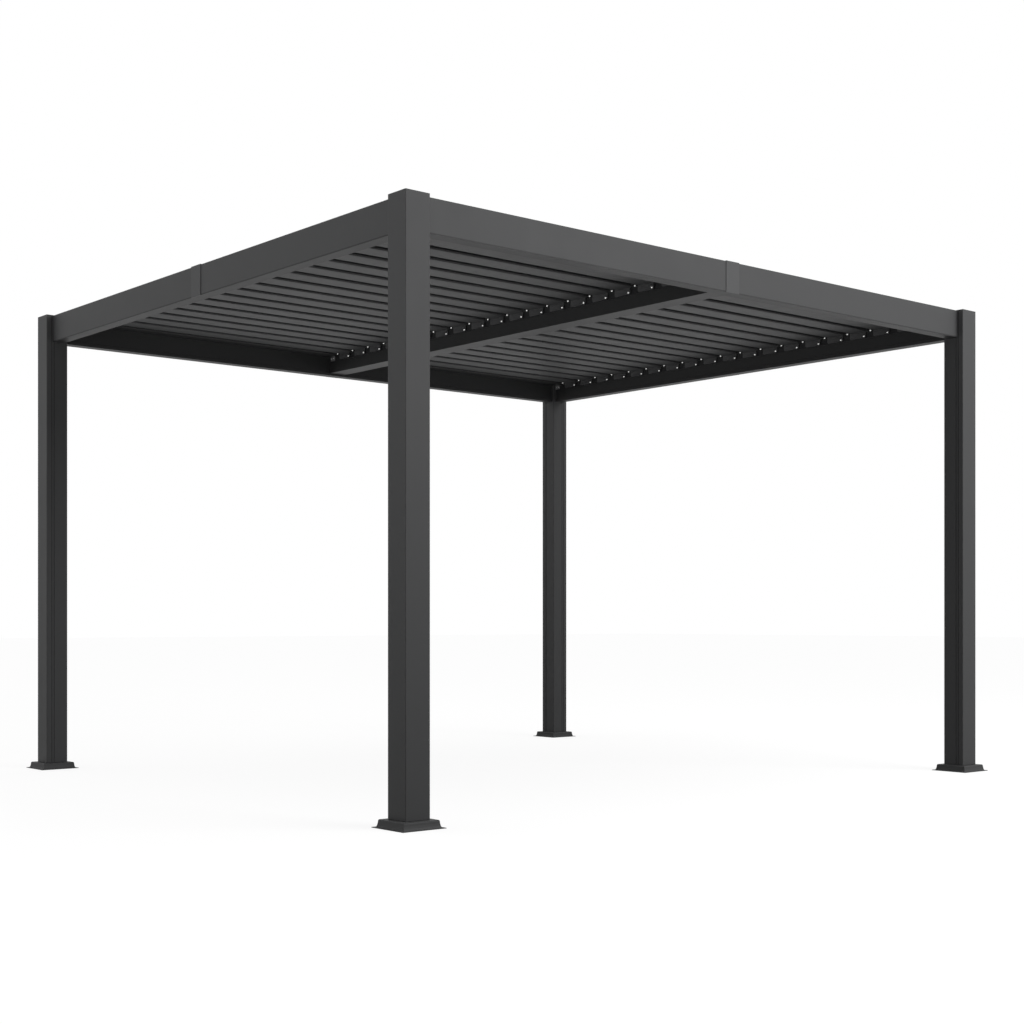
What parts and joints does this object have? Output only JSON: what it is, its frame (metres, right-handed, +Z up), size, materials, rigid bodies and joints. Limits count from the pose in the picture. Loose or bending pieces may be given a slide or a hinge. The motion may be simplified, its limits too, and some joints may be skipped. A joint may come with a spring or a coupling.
{
  "type": "louvered pergola",
  "caption": "Free-standing aluminium pergola on square posts, with perimeter beams, a centre beam and a roof of tilting louvres in two bays.",
  "frame": {"origin": "on the ground, under the centre of the roof", "axes": "+X along the long side to the right, +Y from front to back, +Z up"},
  "size_m": [3.778, 3.398, 2.4],
  "materials": {
    "frame_paint": "satin anthracite powder coat",
    "cover_paint": "satin anthracite powder coat on pressed sheet",
    "cap_paint": "satin anthracite powder coat",
    "strip_paint": "satin anthracite powder coat on folded sheet",
    "louvre_paint": "satin anthracite powder coat, bare metal pivot brackets",
    "rail_metal": "dark coated bearing strip",
    "fasteners": "stainless screw heads and pivot pin heads"
  },
  "bodies": {
    "frame": {"front_left_post": "frame_paint", "front_left_foot_cover": "cover_paint", "front_right_post": "frame_paint", "front_right_foot_cover": "cover_paint", "back_right_post": "frame_paint", "back_right_foot_cover": "cover_paint", "back_left_post": "frame_paint", "back_left_foot_cover": "cover_paint", "post_caps": "cap_paint", "front_beam": "frame_paint", "right_beam": "frame_paint", "back_beam": "frame_paint", "left_beam": "frame_paint", "beam_joint_covers": "cover_paint", "centre_beam": "frame_paint", "left_bay_bearing_rails": "rail_metal", "right_bay_bearing_rails": "rail_metal", "front_flashings": "strip_paint", "front_gutters": "strip_paint", "back_gutters": "strip_paint"},
    "left_bay_louvre_01": {"left_bay_louvre_01": "louvre_paint"},
    "left_bay_louvre_02": {"left_bay_louvre_02": "louvre_paint"},
    "left_bay_louvre_03": {"left_bay_louvre_03": "louvre_paint"},
    "left_bay_louvre_04": {"left_bay_louvre_04": "louvre_paint"},
    "left_bay_louvre_05": {"left_bay_louvre_05": "louvre_paint"},
    "left_bay_louvre_06": {"left_bay_louvre_06": "louvre_paint"},
    "left_bay_louvre_07": {"left_bay_louvre_07": "louvre_paint"},
    "left_bay_louvre_08": {"left_bay_louvre_08": "louvre_paint"},
    "left_bay_louvre_09": {"left_bay_louvre_09": "louvre_paint"},
    "left_bay_louvre_10": {"left_bay_louvre_10": "louvre_paint"},
    "left_bay_louvre_11": {"left_bay_louvre_11": "louvre_paint"},
    "left_bay_louvre_12": {"left_bay_louvre_12": "louvre_paint"},
    "left_bay_louvre_13": {"left_bay_louvre_13": "louvre_paint"},
    "left_bay_louvre_14": {"left_bay_louvre_14": "louvre_paint"},
    "left_bay_louvre_15": {"left_bay_louvre_15": "louvre_paint"},
    "left_bay_louvre_16": {"left_bay_louvre_16": "louvre_paint"},
    "left_bay_louvre_17": {"left_bay_louvre_17": "louvre_paint"},
    "left_bay_louvre_18": {"left_bay_louvre_18": "louvre_paint"},
    "left_bay_louvre_19": {"left_bay_louvre_19": "louvre_paint"},
    "right_bay_louvre_01": {"right_bay_louvre_01": "louvre_paint"},
    "right_bay_louvre_02": {"right_bay_louvre_02": "louvre_paint"},
    "right_bay_louvre_03": {"right_bay_louvre_03": "louvre_paint"},
    "right_bay_louvre_04": {"right_bay_louvre_04": "louvre_paint"},
    "right_bay_louvre_05": {"right_bay_louvre_05": "louvre_paint"},
    "right_bay_louvre_06": {"right_bay_louvre_06": "louvre_paint"},
    "right_bay_louvre_07": {"right_bay_louvre_07": "louvre_paint"},
    "right_bay_louvre_08": {"right_bay_louvre_08": "louvre_paint"},
    "right_bay_louvre_09": {"right_bay_louvre_09": "louvre_paint"},
    "right_bay_louvre_10": {"right_bay_louvre_10": "louvre_paint"},
    "right_bay_louvre_11": {"right_bay_louvre_11": "louvre_paint"},
    "right_bay_louvre_12": {"right_bay_louvre_12": "louvre_paint"},
    "right_bay_louvre_13": {"right_bay_louvre_13": "louvre_paint"},
    "right_bay_louvre_14": {"right_bay_louvre_14": "louvre_paint"},
    "right_bay_louvre_15": {"right_bay_louvre_15": "louvre_paint"},
    "right_bay_louvre_16": {"right_bay_louvre_16": "louvre_paint"},
    "right_bay_louvre_17": {"right_bay_louvre_17": "louvre_paint"},
    "right_bay_louvre_18": {"right_bay_louvre_18": "louvre_paint"},
    "right_bay_louvre_19": {"right_bay_louvre_19": "louvre_paint"}
  },
  "joints": [
    {"name": "left_bay_tilt", "type": "hinge", "parent": "frame", "child": "left_bay_louvre_01", "pos_m": [0, -1.49082, 2.348], "axis": [1, 0, 0], "range_deg": [0, 90]},
    {"name": "left_bay_tilt_02", "type": "hinge", "parent": "frame", "child": "left_bay_louvre_02", "pos_m": [0, -1.33335, 2.348], "axis": [1, 0, 0], "range_deg": [0, 90]},
    {"name": "left_bay_tilt_03", "type": "hinge", "parent": "frame", "child": "left_bay_louvre_03", "pos_m": [0, -1.17589, 2.348], "axis": [1, 0, 0], "range_deg": [0, 90]},
    {"name": "left_bay_tilt_04", "type": "hinge", "parent": "frame", "child": "left_bay_louvre_04", "pos_m": [0, -1.01843, 2.348], "axis": [1, 0, 0], "range_deg": [0, 90]},
    {"name": "left_bay_tilt_05", "type": "hinge", "parent": "frame", "child": "left_bay_louvre_05", "pos_m": [0, -0.86096, 2.348], "axis": [1, 0, 0], "range_deg": [0, 90]},
    {"name": "left_bay_tilt_06", "type": "hinge", "parent": "frame", "child": "left_bay_louvre_06", "pos_m": [0, -0.7035, 2.348], "axis": [1, 0, 0], "range_deg": [0, 90]},
    {"name": "left_bay_tilt_07", "type": "hinge", "parent": "frame", "child": "left_bay_louvre_07", "pos_m": [0, -0.54603, 2.348], "axis": [1, 0, 0], "range_deg": [0, 90]},
    {"name": "left_bay_tilt_08", "type": "hinge", "parent": "frame", "child": "left_bay_louvre_08", "pos_m": [0, -0.38857, 2.348], "axis": [1, 0, 0], "range_deg": [0, 90]},
    {"name": "left_bay_tilt_09", "type": "hinge", "parent": "frame", "child": "left_bay_louvre_09", "pos_m": [0, -0.23111, 2.348], "axis": [1, 0, 0], "range_deg": [0, 90]},
    {"name": "left_bay_tilt_10", "type": "hinge", "parent": "frame", "child": "left_bay_louvre_10", "pos_m": [0, -0.07364, 2.348], "axis": [1, 0, 0], "range_deg": [0, 90]},
    {"name": "left_bay_tilt_11", "type": "hinge", "parent": "frame", "child": "left_bay_louvre_11", "pos_m": [0, 0.08382, 2.348], "axis": [1, 0, 0], "range_deg": [0, 90]},
    {"name": "left_bay_tilt_12", "type": "hinge", "parent": "frame", "child": "left_bay_louvre_12", "pos_m": [0, 0.24129, 2.348], "axis": [1, 0, 0], "range_deg": [0, 90]},
    {"name": "left_bay_tilt_13", "type": "hinge", "parent": "frame", "child": "left_bay_louvre_13", "pos_m": [0, 0.39875, 2.348], "axis": [1, 0, 0], "range_deg": [0, 90]},
    {"name": "left_bay_tilt_14", "type": "hinge", "parent": "frame", "child": "left_bay_louvre_14", "pos_m": [0, 0.55622, 2.348], "axis": [1, 0, 0], "range_deg": [0, 90]},
    {"name": "left_bay_tilt_15", "type": "hinge", "parent": "frame", "child": "left_bay_louvre_15", "pos_m": [0, 0.71368, 2.348], "axis": [1, 0, 0], "range_deg": [0, 90]},
    {"name": "left_bay_tilt_16", "type": "hinge", "parent": "frame", "child": "left_bay_louvre_16", "pos_m": [0, 0.87114, 2.348], "axis": [1, 0, 0], "range_deg": [0, 90]},
    {"name": "left_bay_tilt_17", "type": "hinge", "parent": "frame", "child": "left_bay_louvre_17", "pos_m": [0, 1.02861, 2.348], "axis": [1, 0, 0], "range_deg": [0, 90]},
    {"name": "left_bay_tilt_18", "type": "hinge", "parent": "frame", "child": "left_bay_louvre_18", "pos_m": [0, 1.18607, 2.348], "axis": [1, 0, 0], "range_deg": [0, 90]},
    {"name": "left_bay_tilt_19", "type": "hinge", "parent": "frame", "child": "left_bay_louvre_19", "pos_m": [0, 1.34354, 2.348], "axis": [1, 0, 0], "range_deg": [0, 90]},
    {"name": "right_bay_tilt", "type": "hinge", "parent": "frame", "child": "right_bay_louvre_01", "pos_m": [0, -1.49082, 2.348], "axis": [1, 0, 0], "range_deg": [0, 90]},
    {"name": "right_bay_tilt_02", "type": "hinge", "parent": "frame", "child": "right_bay_louvre_02", "pos_m": [0, -1.33335, 2.348], "axis": [1, 0, 0], "range_deg": [0, 90]},
    {"name": "right_bay_tilt_03", "type": "hinge", "parent": "frame", "child": "right_bay_louvre_03", "pos_m": [0, -1.17589, 2.348], "axis": [1, 0, 0], "range_deg": [0, 90]},
    {"name": "right_bay_tilt_04", "type": "hinge", "parent": "frame", "child": "right_bay_louvre_04", "pos_m": [0, -1.01843, 2.348], "axis": [1, 0, 0], "range_deg": [0, 90]},
    {"name": "right_bay_tilt_05", "type": "hinge", "parent": "frame", "child": "right_bay_louvre_05", "pos_m": [0, -0.86096, 2.348], "axis": [1, 0, 0], "range_deg": [0, 90]},
    {"name": "right_bay_tilt_06", "type": "hinge", "parent": "frame", "child": "right_bay_louvre_06", "pos_m": [0, -0.7035, 2.348], "axis": [1, 0, 0], "range_deg": [0, 90]},
    {"name": "right_bay_tilt_07", "type": "hinge", "parent": "frame", "child": "right_bay_louvre_07", "pos_m": [0, -0.54603, 2.348], "axis": [1, 0, 0], "range_deg": [0, 90]},
    {"name": "right_bay_tilt_08", "type": "hinge", "parent": "frame", "child": "right_bay_louvre_08", "pos_m": [0, -0.38857, 2.348], "axis": [1, 0, 0], "range_deg": [0, 90]},
    {"name": "right_bay_tilt_09", "type": "hinge", "parent": "frame", "child": "right_bay_louvre_09", "pos_m": [0, -0.23111, 2.348], "axis": [1, 0, 0], "range_deg": [0, 90]},
    {"name": "right_bay_tilt_10", "type": "hinge", "parent": "frame", "child": "right_bay_louvre_10", "pos_m": [0, -0.07364, 2.348], "axis": [1, 0, 0], "range_deg": [0, 90]},
    {"name": "right_bay_tilt_11", "type": "hinge", "parent": "frame", "child": "right_bay_louvre_11", "pos_m": [0, 0.08382, 2.348], "axis": [1, 0, 0], "range_deg": [0, 90]},
    {"name": "right_bay_tilt_12", "type": "hinge", "parent": "frame", "child": "right_bay_louvre_12", "pos_m": [0, 0.24129, 2.348], "axis": [1, 0, 0], "range_deg": [0, 90]},
    {"name": "right_bay_tilt_13", "type": "hinge", "parent": "frame", "child": "right_bay_louvre_13", "pos_m": [0, 0.39875, 2.348], "axis": [1, 0, 0], "range_deg": [0, 90]},
    {"name": "right_bay_tilt_14", "type": "hinge", "parent": "frame", "child": "right_bay_louvre_14", "pos_m": [0, 0.55622, 2.348], "axis": [1, 0, 0], "range_deg": [0, 90]},
    {"name": "right_bay_tilt_15", "type": "hinge", "parent": "frame", "child": "right_bay_louvre_15", "pos_m": [0, 0.71368, 2.348], "axis": [1, 0, 0], "range_deg": [0, 90]},
    {"name": "right_bay_tilt_16", "type": "hinge", "parent": "frame", "child": "right_bay_louvre_16", "pos_m": [0, 0.87114, 2.348], "axis": [1, 0, 0], "range_deg": [0, 90]},
    {"name": "right_bay_tilt_17", "type": "hinge", "parent": "frame", "child": "right_bay_louvre_17", "pos_m": [0, 1.02861, 2.348], "axis": [1, 0, 0], "range_deg": [0, 90]},
    {"name": "right_bay_tilt_18", "type": "hinge", "parent": "frame", "child": "right_bay_louvre_18", "pos_m": [0, 1.18607, 2.348], "axis": [1, 0, 0], "range_deg": [0, 90]},
    {"name": "right_bay_tilt_19", "type": "hinge", "parent": "frame", "child": "right_bay_louvre_19", "pos_m": [0, 1.34354, 2.348], "axis": [1, 0, 0], "range_deg": [0, 90]}
  ],
  "couplings": [
    {"joint": "left_bay_tilt_02", "follows": "left_bay_tilt", "ratio": 1},
    {"joint": "left_bay_tilt_03", "follows": "left_bay_tilt", "ratio": 1},
    {"joint": "left_bay_tilt_04", "follows": "left_bay_tilt", "ratio": 1},
    {"joint": "left_bay_tilt_05", "follows": "left_bay_tilt", "ratio": 1},
    {"joint": "left_bay_tilt_06", "follows": "left_bay_tilt", "ratio": 1},
    {"joint": "left_bay_tilt_07", "follows": "left_bay_tilt", "ratio": 1},
    {"joint": "left_bay_tilt_08", "follows": "left_bay_tilt", "ratio": 1},
    {"joint": "left_bay_tilt_09", "follows": "left_bay_tilt", "ratio": 1},
    {"joint": "left_bay_tilt_10", "follows": "left_bay_tilt", "ratio": 1},
    {"joint": "left_bay_tilt_11", "follows": "left_bay_tilt", "ratio": 1},
    {"joint": "left_bay_tilt_12", "follows": "left_bay_tilt", "ratio": 1},
    {"joint": "left_bay_tilt_13", "follows": "left_bay_tilt", "ratio": 1},
    {"joint": "left_bay_tilt_14", "follows": "left_bay_tilt", "ratio": 1},
    {"joint": "left_bay_tilt_15", "follows": "left_bay_tilt", "ratio": 1},
    {"joint": "left_bay_tilt_16", "follows": "left_bay_tilt", "ratio": 1},
    {"joint": "left_bay_tilt_17", "follows": "left_bay_tilt", "ratio": 1},
    {"joint": "left_bay_tilt_18", "follows": "left_bay_tilt", "ratio": 1},
    {"joint": "left_bay_tilt_19", "follows": "left_bay_tilt", "ratio": 1},
    {"joint": "right_bay_tilt_02", "follows": "right_bay_tilt", "ratio": 1},
    {"joint": "right_bay_tilt_03", "follows": "right_bay_tilt", "ratio": 1},
    {"joint": "right_bay_tilt_04", "follows": "right_bay_tilt", "ratio": 1},
    {"joint": "right_bay_tilt_05", "follows": "right_bay_tilt", "ratio": 1},
    {"joint": "right_bay_tilt_06", "follows": "right_bay_tilt", "ratio": 1},
    {"joint": "right_bay_tilt_07", "follows": "right_bay_tilt", "ratio": 1},
    {"joint": "right_bay_tilt_08", "follows": "right_bay_tilt", "ratio": 1},
    {"joint": "right_bay_tilt_09", "follows": "right_bay_tilt", "ratio": 1},
    {"joint": "right_bay_tilt_10", "follows": "right_bay_tilt", "ratio": 1},
    {"joint": "right_bay_tilt_11", "follows": "right_bay_tilt", "ratio": 1},
    {"joint": "right_bay_tilt_12", "follows": "right_bay_tilt", "ratio": 1},
    {"joint": "right_bay_tilt_13", "follows": "right_bay_tilt", "ratio": 1},
    {"joint": "right_bay_tilt_14", "follows": "right_bay_tilt", "ratio": 1},
    {"joint": "right_bay_tilt_15", "follows": "right_bay_tilt", "ratio": 1},
    {"joint": "right_bay_tilt_16", "follows": "right_bay_tilt", "ratio": 1},
    {"joint": "right_bay_tilt_17", "follows": "right_bay_tilt", "ratio": 1},
    {"joint": "right_bay_tilt_18", "follows": "right_bay_tilt", "ratio": 1},
    {"joint": "right_bay_tilt_19", "follows": "right_bay_tilt", "ratio": 1}
  ]
}
